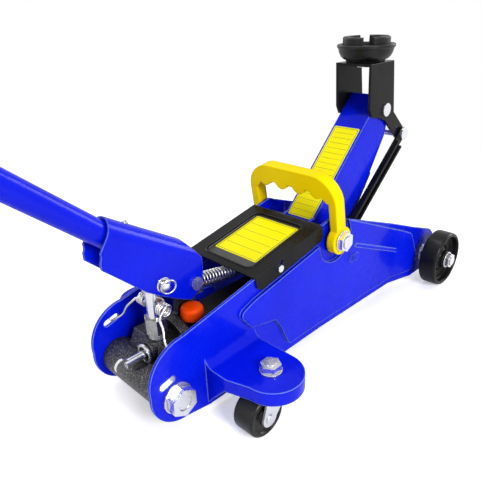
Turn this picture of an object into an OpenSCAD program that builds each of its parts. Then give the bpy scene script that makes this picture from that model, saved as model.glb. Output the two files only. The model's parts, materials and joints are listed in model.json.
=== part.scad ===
// Two-tonne hydraulic floor jack. X runs forward, Y to the left, Z up; the floor is Z = 0.
// Every place along X is counted from the front wheel axis and shifted at the end, so that
// the whole jack stands centred on the origin.

/* [Frame] */
// Half width over the side plates at the rear
half_w = 47.4; // [46:0.1:50]
// Thickness of the side plates and of the caster wings
plate_t = 3; // [2.5:0.1:3.4]
// Height by which the pressed field of a side plate stands out
emboss = 4; // [3.6:0.1:4.5]
// Widening of each side plate over its middle stretch
mid_flare = 4.6; // [3:0.1:6]
// Gap between a side plate and its front wheel
wheel_gap = 13.9; // [12:0.1:15]
// Gap from the floor to the lower edge of the side plates
ground_gap = 10; // [8:0.5:12]
// Height of the upper edge of the side plates at their rear end
rear_edge_z = 99.5; // [97:0.5:101]
// Height of the upper edge of the side plates in front of the cover
front_edge_z = 137.8; // [136:0.5:140]

/* [Front wheels] */
// Radius of a front wheel
wheel_r = 35.6; // [34:0.1:37]
// Width of a front wheel
wheel_w = 22.4; // [20:0.1:24]
// Radius of the axle bolt of a front wheel
axle_r = 6; // [5:0.1:7]
// Distance from the middle of the jack to the outer face of a front wheel
track_half = 99.3; // [98:0.1:102]

/* [Rear casters] */
// Distance of the swivel axis behind the front wheels
caster_back = 340; // [338:0.5:343]
// Distance of the swivel axis from the middle of the jack
caster_side = 95; // [93:0.5:97]
// Radius of a caster wheel
caster_r = 21; // [19:0.1:22]
// Width of a caster wheel
caster_w = 23; // [20:0.1:25]
// Distance from the swivel axis back to the wheel's axle
caster_trail = 18; // [16:0.1:20]
// Radius of the swivel stem
stem_r = 5; // [4.5:0.1:5.5]
// Radius of the rounded nose of a wing
wing_r = 29; // [27:0.5:31]
// Height of the upper face of a wing
wing_z = 55.4; // [54:0.1:58]
// Depth of the skirt round the edge of a wing
skirt_h = 14; // [11:0.5:15]

/* [Lift arm] */
// Distance of the arm's pivot behind the front wheels
pivot_back = 186.7; // [185:0.1:188]
// Height of the arm's pivot
pivot_z = 117.9; // [117:0.1:119]
// Length of the arm between its two pins
arm_len = 173; // [171:0.5:174]
// Rise of the arm above level
arm_rise = 40.7; // [40:0.1:41.5]
// Half width over the arm's side walls
arm_half = 20; // [19:0.1:21]
// Thickness of the arm's sheet
arm_t = 3; // [2.5:0.1:3.5]
// Radius of the arm's pivot shaft
shaft_r = 7; // [6:0.1:8]

/* [Saddle and yoke] */
// Distance of the link pin in front of the arm pin
link_fore = 40.1; // [39:0.1:41]
// Distance of the link pin below the arm pin
link_drop = 35.7; // [35:0.1:37]
// Height of the yoke's top above the arm pin
yoke_top = 54; // [52:0.1:56]
// Length of the yoke's cheeks
yoke_len = 48; // [46:0.5:50]
// Distance of the saddle's axis behind the arm pin
saddle_back = 12.7; // [12:0.1:13.5]
// Thickness of the yoke's sheet
yoke_t = 3; // [2.5:0.1:3.5]
// Radius of the saddle's rim
saddle_r = 32.6; // [31:0.1:34]
// Height of the saddle from its seat to its rim
saddle_h = 19; // [18:0.1:21]
// Height of the four lugs above the rim
lug_h = 7.8; // [6:0.1:9]
// Radius of the pins at the arm's end
pin_r = 5; // [4.5:0.1:5.5]

/* [Links] */
// Thickness of a link's web
link_t = 3; // [2.5:0.1:3.3]
// Width of a link
link_w = 13; // [12:0.1:14]
// Depth of a link's channel
link_d = 7.5; // [6:0.1:8]

/* [Power unit] */
// Distance of the rear bolts behind the front wheels
bolt_back = 410.7; // [409:0.1:412]
// Height of the rear bolts
bolt_z = 43.4; // [43:0.1:45]
// Radius of the shank of a rear bolt
bolt_r = 8; // [7:0.1:8.5]
// Radius of the cast cross bar between the rear ends
cross_r = 18; // [17:0.1:18.5]
// Radius of the oil tank
tank_r = 27; // [26:0.1:28]
// Height of the tank's axis
tank_z = 56; // [55:0.1:57]
// Distance of the tank's front face behind the front wheels
tank_front = 262; // [260:0.5:268]
// Radius of the ram
ram_r = 9; // [8:0.1:10]
// Distance of the ram pin from the arm's pivot at mid stroke
horn_len = 69.2; // [68.5:0.1:70]
// Radius of the pump's plunger
plunger_r = 7; // [6:0.1:7.5]
// Width across the flats of the pump's gland
gland_af = 19; // [18:0.5:20]

/* [Pump handle] */
// Rise of the handle above level
handle_rise = 41.96; // [41:0.1:43]
// Radius of the handle tube
tube_r = 10.6; // [10:0.1:11]
// Wall of the handle tube
tube_t = 1.6; // [1.2:0.1:2]
// Length of the whole handle
handle_len = 560; // [500:5:620]
// Length of the lower handle piece
lower_len = 300; // [280:5:320]
// Radius of the rubber grip
grip_r = 14; // [13:0.1:16]
// Length of the rubber grip
grip_len = 115; // [100:5:130]
// Thickness of the socket's sheet
socket_t = 2.2; // [2:0.1:2.5]

/* [Cover] */
// Thickness of the cover's sheet
cover_t = 1.5; // [1.2:0.1:1.8]
// Depth of the cover's side flaps
flap_h = 15.5; // [14:0.5:17]
// Depth of the panel sunk into the cover
panel_sink = 2; // [1.6:0.1:2.4]

/* [Carry handle] */
// Width of the carry handle's strap, front to back
strap_w = 15; // [13:0.5:17]
// Thickness of the carry handle's legs
leg_t = 9; // [8:0.1:10]
// Height of the carry handle above its pivot
carry_h = 72.5; // [70:0.5:78]
// Lean of the carry handle towards the rear
carry_lean = 9; // [6:1:12]

/* [Hidden] */
$fn = 96;
// Clearances
run = 0.05;     // shaft in a bore that turns
gap = 0.4;      // faces that pass each other
eps = 0.01;

// Overall placing along X
handle_foot = [-367.7, 136];       // point on the handle's axis over the plunger
foot_s = 6;                        // start of the handle along its axis
x_front = wheel_r;
grip_edge = 3;                     // chamfer at the end of the grip
x_rear = handle_foot.x - (foot_s + handle_len) * cos(handle_rise)
    - (grip_r - grip_edge) * sin(handle_rise);
x_shift = -(x_front + x_rear) / 2;

// Pivots in the XZ plane
AXLE = [0, wheel_r];
A = [-pivot_back, pivot_z];
B = A + arm_len * [cos(arm_rise), sin(arm_rise)];
D = B + [link_fore, -link_drop];
C = A + [link_fore, -link_drop];
T = [-bolt_back, bolt_z];
HORN_ANGLE = -67.5;                // direction of the arm's horn in this position
RAM_PIN = A + (A.y - tank_z) / sin(-HORN_ANGLE) * [cos(HORN_ANGLE), sin(HORN_ANGLE)];
SOCKET = [-352, 120];              // pin that carries the handle socket
PLUNGER_X = -391.6;
CASTER = [-caster_back, caster_side];

// Side plate
rear_low = [-401.5, 50];           // centres and radii of the rear end's arcs
rear_low_r = 35;
rear_high = [-397.5, rear_edge_z - 39];
rear_high_r = 39;
nose_r = 33;
taper_x = -205;                    // the plate widens in front of the cover
joggle_x0 = -64;
joggle_x1 = -26;
mid_w = half_w + mid_flare;
front_w = track_half - wheel_w - wheel_gap;
front_flare = front_w - mid_w;
edge_slope = (front_edge_z - rear_edge_z) / (-207.8 - rear_high.x);
flap_in = half_w + gap;
dish_r = 27;                       // flat round each carry handle eye
wing_rear = CASTER.x - wing_r - 7;
wing_front = CASTER.x + wing_r;
wing_reach = caster_side + 2;      // centre of the nose
root_fillet = 10;

// Cover
cover_rear = -309;
cover_slope = atan(edge_slope);
cover_len = 103.3;
cover_z = rear_edge_z + edge_slope * (cover_rear - rear_high.x);
panel = [9, 92, 33];               // rear end, front end and half width of the sunk panel
panel_round = 7;
SCREW = [33, -7.5];                // cover screw, along and below the cover's edge

// Arm and yoke
eye_r = 14;
arm_tip = arm_len + 9;
arm_top_low = 7;                   // height of the arm's top over the pin line, at both ends
arm_top_high = 18;
horn_dir = HORN_ANGLE - 1 - arm_rise;
horn_slot = 8.4;                   // half length of the slot for the ram pin
ram_pin_r = 6;
slot_play = 2.6;
yoke_in = arm_half + gap;
yoke_out = yoke_in + yoke_t;
yoke_z = B.y + yoke_top;
link_in = yoke_out + gap;
link_out = link_in + link_d;
saddle_x = B.x - saddle_back;
saddle_stem_r = 9;
cup_h = 8;                         // depth of the saddle's cup
cup_r = saddle_r - 8;
lug_r = saddle_r - 5.8;            // outer face of the four lugs
lug_w = 6.2;
lug_arc = 62;
lug_turn = 83;
washer_t = 1.2;

// Wheels and casters
hub_r = 12;
rim_t = 4.5;
fork_t = 2.2;
fork_half = caster_w / 2 + 1 + fork_t;
race_h = 1.4;
fork_top = wing_z - plate_t - race_h - 0.1;

// Carry handle
eye_in = half_w + mid_flare * (pivot_back + taper_x) / (taper_x - joggle_x0) + 3.2;
carry_out = eye_in + leg_t;
grip_depth = 22;

// Socket and pump
socket_in = tube_r + 1.5;
socket_out = socket_in + socket_t;
sleeve_len = 72;
lug_half = socket_in - gap;
socket_pin_r = 4;
press_pin_r = 4;                   // pin that presses on the plunger
press_pin = [-388.5, 134.3];
plunger_top = press_pin.y - press_pin_r - 1.6;
gland_z = 82;
gland_h = 15;
valve_z = 66.5;
valve_y = -3;
valve_r = 4;

// ---------- helpers ----------

// An XZ outline made solid between two places along Y
module at_y(y0, y1)
    translate([0, max(y0, y1), 0])
        rotate([90, 0, 0])
            linear_extrude(abs(y1 - y0))
                children();

// A round bar along Y
module rod(p, y0, y1, r)
    at_y(y0, y1)
        translate(p)
            circle(r);

// A hexagon bar along Y
module hex_rod(p, y0, y1, af)
    at_y(y0, y1)
        translate(p)
            rotate(90)
                circle(af / sqrt(3), $fn = 6);

module both_sides() {
    children();
    mirror([0, 1, 0])
        children();
}

// side is 1 for the left and -1 for the right
module on_side(side)
    mirror([0, side > 0 ? 0 : 1, 0])
        children();

// A flat capsule between two points
module capsule(p, q, r) {
    d = q - p;
    translate(p) circle(r);
    translate(q) circle(r);
    translate(p)
        rotate(atan2(d.y, d.x))
            translate([0, -r])
                square([norm(d), 2 * r]);
}

module round_rect(x0, x1, half, r) {
    translate([x0 + r, -half]) square([x1 - x0 - 2 * r, 2 * half]);
    translate([x0, -half + r]) square([x1 - x0, 2 * half - 2 * r]);
    for (x = [x0 + r, x1 - r], y = [-half + r, half - r])
        translate([x, y]) circle(r);
}

module nut_y(p, y0, y1, af, flange_r, flange_t, bore)
    difference() {
        union() {
            rod(p, y0, y0 + flange_t, flange_r);
            hex_rod(p, y0, y1, af);
        }
        rod(p, y0 - 1, y1 + 1, bore);
    }

function unit(v) = v / norm(v);

// A counter-clockwise outline moved inwards, and an outline with its corners rounded
function inward(a, b, d) = let (u = unit(b - a)) [a + d * [-u.y, u.x], u];
function meeting(l, m) =
    let (w = m[0] - l[0], c = l[1].x * m[1].y - l[1].y * m[1].x)
        l[0] + l[1] * (w.x * m[1].y - w.y * m[1].x) / c;
function inset(p, d) = [
    for (i = [0 : len(p) - 1])
        let (a = p[(i + len(p) - 1) % len(p)], b = p[i], c = p[(i + 1) % len(p)])
            meeting(inward(a, b, d), inward(b, c, d))
];
function rounded(p, r, steps = 6) = [
    for (i = [0 : len(p) - 1])
        let (
            b = p[i],
            u = unit(p[(i + len(p) - 1) % len(p)] - b),
            v = unit(p[(i + 1) % len(p)] - b),
            half = acos(u * v) / 2,
            o = b + unit(u + v) * r / sin(half),
            from = b + u * r / tan(half) - o,
            to = b + v * r / tan(half) - o,
            a0 = atan2(from.y, from.x),
            turn = (atan2(to.y, to.x) - a0 + 540) % 360 - 180
        )
        for (k = [0 : steps]) o + r * [cos(a0 + turn * k / steps), sin(a0 + turn * k / steps)]
];

// A wire that follows a list of points, as one closed tube; its section turns no more than the path does
function level(u, t) = unit(u - (u * t) * t);
function wire_points(path, r, sides) =
    let (
        last = len(path) - 1,
        t = [for (i = [0 : last]) unit(path[min(i + 1, last)] - path[max(i - 1, 0)])],
        seed = cross(t[0], abs(t[0].y) > 0.9 ? [0, 0, 1] : [0, 1, 0])
    )
    [
        for (i = 0, u = level(seed, t[0]); i <= last; i = i + 1, u = i <= last ? level(u, t[i]) : u)
            for (k = [0 : sides - 1])
                path[i] + r * (cos(360 * k / sides) * u + sin(360 * k / sides) * cross(t[i], u))
    ];
module wire(path, r, sides = 6) {
    n = len(path);
    polyhedron(
        points = wire_points(path, r, sides),
        faces = concat(
            [[for (k = [0 : sides - 1]) k]],
            [[for (k = [sides - 1 : -1 : 0]) (n - 1) * sides + k]],
            [
                for (i = [0 : n - 2], k = [0 : sides - 1])
                    let (a = i * sides, b = a + sides, k2 = (k + 1) % sides)
                        [a + k2, a + k, b + k, b + k2]
            ]
        ),
        convexity = 10
    );
}

// ---------- side plates ----------

plan = [
    [-445, half_w], [taper_x, half_w], [joggle_x0, mid_w], [joggle_x1, front_w], [45, front_w]
];

// The plate's sheet in plan, between two distances out from its inner face
module ribbon(a, b)
    linear_extrude(160)
        polygon(concat(
            [for (p = plan) [p.x, p.y - plate_t + a]],
            [for (i = [len(plan) - 1 : -1 : 0]) [plan[i].x, plan[i].y - plate_t + b]]
        ));

module plate_outline()
    difference() {
        union() {
            translate(rear_low) circle(rear_low_r);
            translate(rear_high) circle(rear_high_r);
            translate([A.x, front_edge_z - 10.8]) circle(14.5);
            translate(AXLE) circle(nose_r);
            polygon([
                [rear_low.x, rear_low.y - rear_low_r], [-374, ground_gap], [0, ground_gap],
                [9, AXLE.y + nose_r - 1.3], [A.x + 8, front_edge_z + 1],
                [A.x - 3, front_edge_z + 3.4], [rear_high.x, rear_edge_z],
                [rear_low.x - rear_low_r + 0.3, rear_low.y + 6]
            ]);
        }
        translate([-60, -40]) square([120, 40 + ground_gap]);
    }

// Corners of the raised field: it keeps clear of the cover's flaps and of the wing
function under_flap(x) = rear_edge_z + edge_slope * (x - rear_high.x) - flap_h - 3.5;
field = [
    [-263, 21], [-32, 21], [-22, 36], [-36, 76], [A.x + 22, front_edge_z - 4.5],
    [A.x - 14, front_edge_z - 1], [taper_x, under_flap(taper_x)], [-312, under_flap(-312)],
    [-334, 90], [-318, 70], [-284, 62], [-276, 49]
];
field_round = 6;

module field_outline() polygon(rounded(field, field_round));
module field_inner() polygon(rounded(inset(field, plate_t), field_round - 2));

module side_sheet()
    difference() {
        union() {
            intersection() {
                ribbon(0, plate_t);
                at_y(0, 80) plate_outline();
            }
            intersection() {
                ribbon(0, plate_t + emboss);
                at_y(0, 80) field_outline();
            }
            field_bead();
        }
        // hollow behind the field
        intersection() {
            ribbon(-1, emboss);
            at_y(0, 80) difference() {
                field_inner();
                translate(A) circle(dish_r + plate_t);
            }
        }
        // flat dish round the pivot
        intersection() {
            ribbon(plate_t, plate_t + emboss + 5);
            at_y(0, 80) translate(A) circle(dish_r);
        }
    }

// Bead along the field, on the stretch that widens towards the front
module field_bead()
    translate([taper_x, half_w + emboss, 0])
        rotate([0, 0, atan(mid_flare / (joggle_x0 - taper_x))])
            at_y(-1, 1.3)
                capsule([A.x + 38 - taper_x, 97], [joggle_x0 + 12 - taper_x, 55], 2.2);

module wing_outline(inset) {
    translate([CASTER.x, wing_reach]) circle(wing_r - inset);
    polygon([
        [wing_rear + inset, half_w - 1], [wing_front - inset, half_w - 1],
        [wing_front - inset, wing_reach], [CASTER.x - wing_r + inset, wing_reach],
        [wing_rear + inset, half_w + 27]
    ]);
}

module wing() {
    translate([0, 0, wing_z - plate_t]) linear_extrude(plate_t) wing_outline(0);
    translate([0, 0, wing_z - skirt_h])
        linear_extrude(skirt_h)
            difference() {
                wing_outline(0);
                wing_outline(plate_t);
            }
    // rear gusset down to the plate's lower edge
    translate([wing_rear, 0, 0])
        rotate([90, 0, 90])
            linear_extrude(plate_t)
                polygon([
                    [half_w - 1, ground_gap + 3], [half_w + 25, wing_z - skirt_h],
                    [half_w + 25, wing_z - 1], [half_w - 1, wing_z - 1]
                ]);
    // fillet along the root
    translate([wing_rear, 0, 0])
        rotate([90, 0, 90])
            linear_extrude(wing_front - wing_rear)
                difference() {
                    translate([half_w - 1, wing_z - 1]) square(root_fillet + 1);
                    translate([half_w + root_fillet, wing_z + root_fillet]) circle(root_fillet);
                }
}

module plate_holes(side) {
    rod(T, 0, 80, bolt_r + 0.1);
    rod(A, 0, 80, shaft_r + run);
    rod(AXLE, 0, 80, axle_r + run);
    rod(C, 0, 80, pin_r + run);
    slot_at = side > 0 ? [-412.6, 83.4] : [-418.2, 62.3];
    at_y(0, 80) translate(slot_at) rotate(15) capsule([-5.2, 0], [5.2, 0], 3.4);
    translate([CASTER.x, CASTER.y, wing_z - 20]) cylinder(r = stem_r + run, h = 30);
    cover_frame() rod(SCREW, 0, 80, 2.1);
}

module side_plate(side)
    color("royalblue")
        on_side(side)
            difference() {
                union() {
                    side_sheet();
                    wing();
                }
                plate_holes(side);
            }

module front_tie()
    color("royalblue")
        rod([-70, 22], -mid_w + plate_t + 0.3, mid_w - plate_t - 0.3, 6);

// ---------- front wheels ----------

// Turned about Y: the points are radius and place along Y
module turned_y(p)
    translate([p.x, 0, p.y])
        rotate([-90, 0, 0])
            rotate_extrude()
                children();

module front_wheel(side)
    color("#151515")
        on_side(side)
            turned_y(AXLE)
                difference() {
                    polygon([
                        [axle_r + run, track_half - wheel_w], [wheel_r - 2, track_half - wheel_w],
                        [wheel_r, track_half - wheel_w + 2], [wheel_r, track_half - 3],
                        [wheel_r - 1, track_half - 0.8], [wheel_r - 2.4, track_half],
                        [wheel_r - rim_t, track_half], [wheel_r - rim_t - 1.5, track_half - 8],
                        [hub_r + 6, track_half - 10], [hub_r, track_half - 6],
                        [hub_r - 1, track_half - 1], [axle_r + run, track_half - 1]
                    ]);
                    polygon([
                        [hub_r, track_half - wheel_w - 1], [wheel_r - rim_t, track_half - wheel_w - 1],
                        [wheel_r - rim_t - 1, track_half - wheel_w + 7],
                        [hub_r + 1, track_half - wheel_w + 6]
                    ]);
                }

module stub_axles()
    color("silver")
        both_sides() {
            rod(AXLE, front_w - plate_t - 6, track_half + 7, axle_r);
            hex_rod(AXLE, front_w - plate_t - 7, front_w - plate_t, 18);
        }

module axle_nuts()
    color("silver")
        both_sides() {
            nut_y(AXLE, track_half - 0.7, track_half + 5.5, 17, 10.5, 1.4, axle_r);
            nut_y(AXLE, front_w, front_w + 6, 17, 10.5, 1.4, axle_r);
        }

// ---------- pivot shaft ----------

module arm_shaft()
    color("silver")
        rod(A, -carry_out - 8.5, carry_out + 8.5, shaft_r);

module arm_spacers()
    color("#202020")
        both_sides()
            difference() {
                rod(A, arm_half + gap, half_w - plate_t - 0.1, shaft_r + 3);
                rod(A, 0, 60, shaft_r + run);
            }

module shaft_nuts()
    color("silver")
        both_sides()
            nut_y(A, carry_out + gap, carry_out + 7, 19, 11.5, 1.6, shaft_r);

module link_lower_pins()
    color("royalblue")
        both_sides()
            rod(C, link_in - 0.2, mid_pin_y(), pin_r);
function mid_pin_y() = half_w + mid_flare * (C.x - taper_x) / (joggle_x0 - taper_x) + emboss + 0.6;

// ---------- power unit ----------

block_front = -372;
block_half = 30;
block_top = 74;
post_top = 106;                    // lower side of the eye's full width
post_y = 4;

module pump_block()
    color("#4a4a48")
        difference() {
            union() {
                rod(T, -half_w + plate_t + 0.1, half_w - plate_t - 0.1, cross_r);
                at_y(-block_half, block_half)
                    polygon([
                        [T.x + 2, T.y - 14], [block_front - 12, 22], [block_front, 26],
                        [block_front, block_top], [block_front - 26, block_top],
                        [T.x + 6, T.y + 17]
                    ]);
                // boss of the pump
                translate([PLUNGER_X, 0, 40]) cylinder(r = 12, h = block_top - 40 + 1.5);
                // boss of the release valve
                translate([-406, valve_y, valve_z]) rotate([0, 90, 0]) cylinder(r = 9.5, h = 30);
                // flange of the tank
                translate([block_front - 6, 0, tank_z])
                    rotate([0, 90, 0]) cylinder(r = tank_r + 3, h = 9.6);
                // eye that carries the handle socket, on a post beside the filler plug
                at_y(-lug_half, lug_half) {
                    translate(SOCKET) circle(9);
                    polygon([
                        [SOCKET.x - 9, SOCKET.y], [SOCKET.x - 9, post_top], [SOCKET.x + 9, post_top],
                        [SOCKET.x + 9, SOCKET.y]
                    ]);
                }
                at_y(post_y, lug_half)
                    polygon([
                        [block_front - 4, 60], [SOCKET.x + 14, 60], [SOCKET.x + 9, SOCKET.y - 3],
                        [SOCKET.x - 9, SOCKET.y - 3], [SOCKET.x - 11, 84], [block_front - 4, 76]
                    ]);
            }
            rod(T, -80, -half_w + plate_t + 26, bolt_r);
            rod(T, half_w - plate_t - 26, 80, bolt_r);
            rod(SOCKET, -20, 20, socket_pin_r + run);
            translate([PLUNGER_X, 0, 50]) cylinder(r = plunger_r + 1.6, h = 40);
            translate([-440, valve_y, valve_z]) rotate([0, 90, 0]) cylinder(r = valve_r + run, h = 38.6);
            translate([-440, valve_y, valve_z]) rotate([0, 90, 0]) cylinder(r = 10.6, h = 31);
            translate([block_front + 2, 0, tank_z]) rotate([0, 90, 0]) cylinder(r = tank_r + run, h = 60);
        }

module rear_bolts()
    color("gainsboro")
        both_sides()
            difference() {
                union() {
                    rod(T, half_w - plate_t - 24, half_w + 2, bolt_r - 0.05);
                    rod(T, half_w + 0.05, half_w + 2.6, 15);
                    hex_rod(T, half_w + 2, half_w + 12.5, 24);
                }
                rod(T, half_w + 11.3, half_w + 14, 7.5);
            }

tank_front_x = -tank_front;
module oil_tank()
    color("#121212")
        difference() {
            translate([block_front + 2, 0, tank_z])
                rotate([0, 90, 0])
                    cylinder(r = tank_r, h = tank_front_x - block_front - 2);
            translate([block_front + 8, 0, tank_z])
                rotate([0, 90, 0])
                    cylinder(r = tank_r - 3, h = tank_front_x - block_front - 20);
            translate([block_front + 20, 0, tank_z])
                rotate([0, 90, 0]) cylinder(r = ram_r + run, h = 200);
            translate([PLUG.x, PLUG.y, tank_z]) cylinder(r = 5, h = 60);
        }

module tank_nut()
    color("#303030")
        difference() {
            translate([tank_front_x, 0, tank_z])
                rotate([0, 90, 0])
                    rotate(30)
                        cylinder(r = 24, h = 7, $fn = 6);
            translate([tank_front_x - 1, 0, tank_z])
                rotate([0, 90, 0]) cylinder(r = ram_r + run, h = 20);
        }

PLUG = [-356, -9];
module oil_plug()
    color("orangered")
        translate([PLUG.x, PLUG.y, tank_z + sqrt(pow(tank_r, 2) - pow(PLUG.y, 2))])
            rotate_extrude()
                polygon([
                    [0, -8], [4.9, -8], [4.9, 1.8], [11, 1.8], [11.4, 5], [11, 11],
                    [9.5, 13.4], [6, 14.6], [0, 15]
                ]);

module pump_gland()
    color("#8b8b88")
        difference() {
            union() {
                translate([PLUNGER_X, 0, gland_z])
                    cylinder(r = gland_af / sqrt(3), h = gland_h, $fn = 6);
                translate([PLUNGER_X, 0, 52]) cylinder(r = plunger_r + 1.55, h = gland_z - 52 + eps);
            }
            translate([PLUNGER_X, 0, 51]) cylinder(r = plunger_r + run, h = 60);
        }

module pump_plunger()
    color("silver")
        translate([PLUNGER_X, 0, 66]) cylinder(r = plunger_r, h = plunger_top - 66 - 2);

module plunger_head()
    color("silver")
        translate([PLUNGER_X, 0, plunger_top - 2])
            rotate_extrude()
                polygon([[0, 0], [8.4, 0], [9, 0.6], [9, 1.4], [8.4, 2], [0, 2]]);

coil_z = 110;
coil_r = 5.6;
wire_r = 1.1;
// Wire spring with two coils beside the plunger and a leg out to each side plate
module plunger_spring()
    color("silver") {
        turns = 3;
        steps = 12;
        for (side = [1, -1]) {
            leg_end = side > 0 ? [-412.6, half_w + 2, 83.4] : [-409.5, -half_w + 5, 84];
            wire(concat(
                [
                    for (i = [0 : turns * steps])
                        let (a = 150 + 360 * i / steps)
                            [
                                PLUNGER_X + coil_r * cos(a), side * (10 + 2.6 * i / steps),
                                coil_z + coil_r * sin(a)
                            ]
                ],
                [
                    [PLUNGER_X - 10, side * 22, coil_z - 2], [-405, side * 31, 95],
                    [leg_end.x + 2, side * 39, 86], [leg_end.x, side * 43, leg_end.z], leg_end
                ]
            ), wire_r);
        }
    }

module release_valve()
    color("silver")
        translate([-440, valve_y, valve_z])
            rotate([0, 90, 0])
                union() {
                    translate([0, 0, 9]) cylinder(r = valve_r, h = 29);
                    // flat oval paddle that the handle's notch turns
                    intersection() {
                        translate([-10, -1.6, -1]) cube([20, 3.2, 20]);
                        translate([0, 5, 6]) rotate([90, 0, 0]) cylinder(r = 7, h = 10);
                    }
                }

module valve_ring()
    color("silver")
        translate([-411, valve_y, valve_z])
            rotate([0, 90, 0])
                difference() {
                    cylinder(r = 9.8, h = 2);
                    translate([0, 0, -1]) cylinder(r = 7, h = 4);
                }

head_back = 16;
ram_rear = -288;                   // inner end of the ram, well inside the tank
module ram()
    color("silver")
        translate([ram_rear, 0, tank_z])
            rotate([0, 90, 0])
                cylinder(r = ram_r, h = RAM_PIN.x - head_back - ram_rear);

module ram_crosshead()
    color("#5a5a5a")
        difference() {
            union() {
                at_y(-13, 13) {
                    translate(RAM_PIN) circle(11);
                    translate([RAM_PIN.x - head_back, RAM_PIN.y - 11]) square([head_back, 22]);
                }
                // ear for the return spring
                at_y(-2, 2)
                    translate([spring_to.x + 5, spring_to.y])
                        polygon([[-5, -20], [5, -20], [5, 2.5], [2.5, 5], [-2.5, 5], [-5, 2.5]]);
            }
            rod(RAM_PIN, -20, 20, ram_pin_r);
            rod(spring_to + [5, 0], -5, 5, spring_wire + 0.6);
        }

module ram_pin()
    color("silver")
        rod(RAM_PIN, -arm_half - 4, arm_half + 4, ram_pin_r);

spring_r = 6;
spring_wire = 1;
spring_from = SOCKET + [15, -8];   // rear end of the coil
spring_to = [RAM_PIN.x - 12, 84];  // front end of the coil, at the crosshead's ear
// Spring that draws the ram back: a long coil with a hook at each end
module arm_return_spring()
    color("#b8b8b8") {
        turns = 30;
        steps = 8;
        d = spring_to - spring_from;
        dir = unit([d.x, 0, d.y]);
        up = cross(dir, [0, 1, 0]);
        wire(concat(
            [
                [SOCKET.x - 6, socket_out + 4, SOCKET.y - 6], [SOCKET.x, socket_out + 4, SOCKET.y - 8.5],
                [SOCKET.x + 8, socket_out + 1.5, SOCKET.y - 8], [spring_from.x - 1.5, 10, spring_from.y]
            ],
            [
                for (i = [0 : turns * steps])
                    [spring_from.x, 0, spring_from.y] + dir * norm(d) * i / (turns * steps)
                        + spring_r * (cos(360 * i / steps) * [0, 1, 0] + sin(360 * i / steps) * up)
            ],
            [[spring_to.x + 2, 4, spring_to.y], [spring_to.x + 5, 3, spring_to.y],
                [spring_to.x + 5, -3, spring_to.y], [spring_to.x + 2, -5, spring_to.y - 1]]
        ), spring_wire, 5);
    }

// ---------- lift arm ----------

// Outlines drawn along the pin line, turned into place
module arm_frame()
    translate(A)
        rotate(arm_rise)
            children();

horn_at = horn_len * [cos(horn_dir), sin(horn_dir)];
horn_tip_r = 18;
horn_over = 4;                     // tip circle beyond the middle of the slot

module arm_side() {
    circle(eye_r);
    translate((1 + horn_over / horn_len) * horn_at) circle(horn_tip_r);
    polygon([
        [0, arm_top_low], [arm_tip - 3, arm_top_high - 0.3], [arm_tip, arm_top_high - 4],
        [arm_tip, -9], [arm_tip - 5, -16], [arm_len - 15, -29], [58, -58],
        [horn_at.x + 15, horn_at.y - 8], [horn_at.x - 16, horn_at.y - 4], [-eye_r + 1, -5]
    ]);
}

module horn_slot_shape()
    rotate(horn_dir)
        capsule([horn_len - horn_slot, 0], [horn_len + horn_slot, 0], ram_pin_r + slot_play);

module lift_arm()
    color("royalblue")
        difference() {
            union() {
                for (side = [1, -1])
                    at_y(side * arm_half, side * (arm_half - arm_t)) arm_frame() arm_side();
                at_y(-arm_half, arm_half)
                    arm_frame()
                        polygon([
                            [3, arm_top_low + 0.2], [arm_tip - 3, arm_top_high - 0.3],
                            [arm_tip, arm_top_high - 4], [arm_tip, arm_top_high - 8],
                            [arm_tip - 5, arm_top_high - 3.6], [3, arm_top_low + 0.2 - arm_t]
                        ]);
                // web that closes the front of the horn
                at_y(-arm_half, arm_half)
                    arm_frame() polygon([[60, -57], [62, -55], [112, -42], [112, -45]]);
            }
            rod(A, -40, 40, shaft_r + 3);
            rod(B, -40, 40, pin_r);
            at_y(-40, 40) arm_frame() horn_slot_shape();
        }

module arm_pivot_tube()
    color("royalblue")
        difference() {
            rod(A, -arm_half - 0.2, arm_half + 0.2, shaft_r + 3);
            rod(A, -40, 40, shaft_r + run);
        }

module arm_pin()
    color("silver") {
        rod(B, -yoke_out - 1, yoke_out + 1, pin_r);
        both_sides() rod(B, yoke_out + gap, yoke_out + 2.6, pin_r + 2.6);
    }

// ---------- yoke, links and saddle ----------

yoke_rear = B.x - saddle_back - yoke_len / 2;
yoke_fore = B.x - saddle_back + yoke_len / 2;

module yoke_cheek() {
    polygon([
        [yoke_rear, yoke_z], [yoke_rear + 3, B.y + 5], [yoke_rear + 8, B.y - 4], [B.x - 8, B.y - 9],
        [B.x + 4, B.y - 10], [yoke_fore + 9, B.y - 8], [yoke_fore + 7, B.y + 6], [yoke_fore, yoke_z]
    ]);
    capsule(B, D, 9);
    translate(B) circle(12);
}

module yoke()
    color("#141414")
        difference() {
            union() {
                both_sides() at_y(yoke_in, yoke_out) yoke_cheek();
                translate([yoke_rear, -yoke_out, yoke_z - yoke_t]) cube([yoke_len, 2 * yoke_out, yoke_t]);
            }
            rod(B, -40, 40, pin_r + run);
            rod(D, -40, 40, pin_r - 0.5);
            translate([saddle_x, 0, yoke_z - 10]) cylinder(r = saddle_stem_r + run, h = 20);
        }

module link_top_pin()
    color("silver") {
        rod(D, -link_in - link_t - 0.6, link_in + link_t + 0.6, pin_r - 0.5);
        both_sides() rod(D, link_in + link_t + 0.3, link_in + link_t + 3, pin_r + 2.4);
    }

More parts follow.
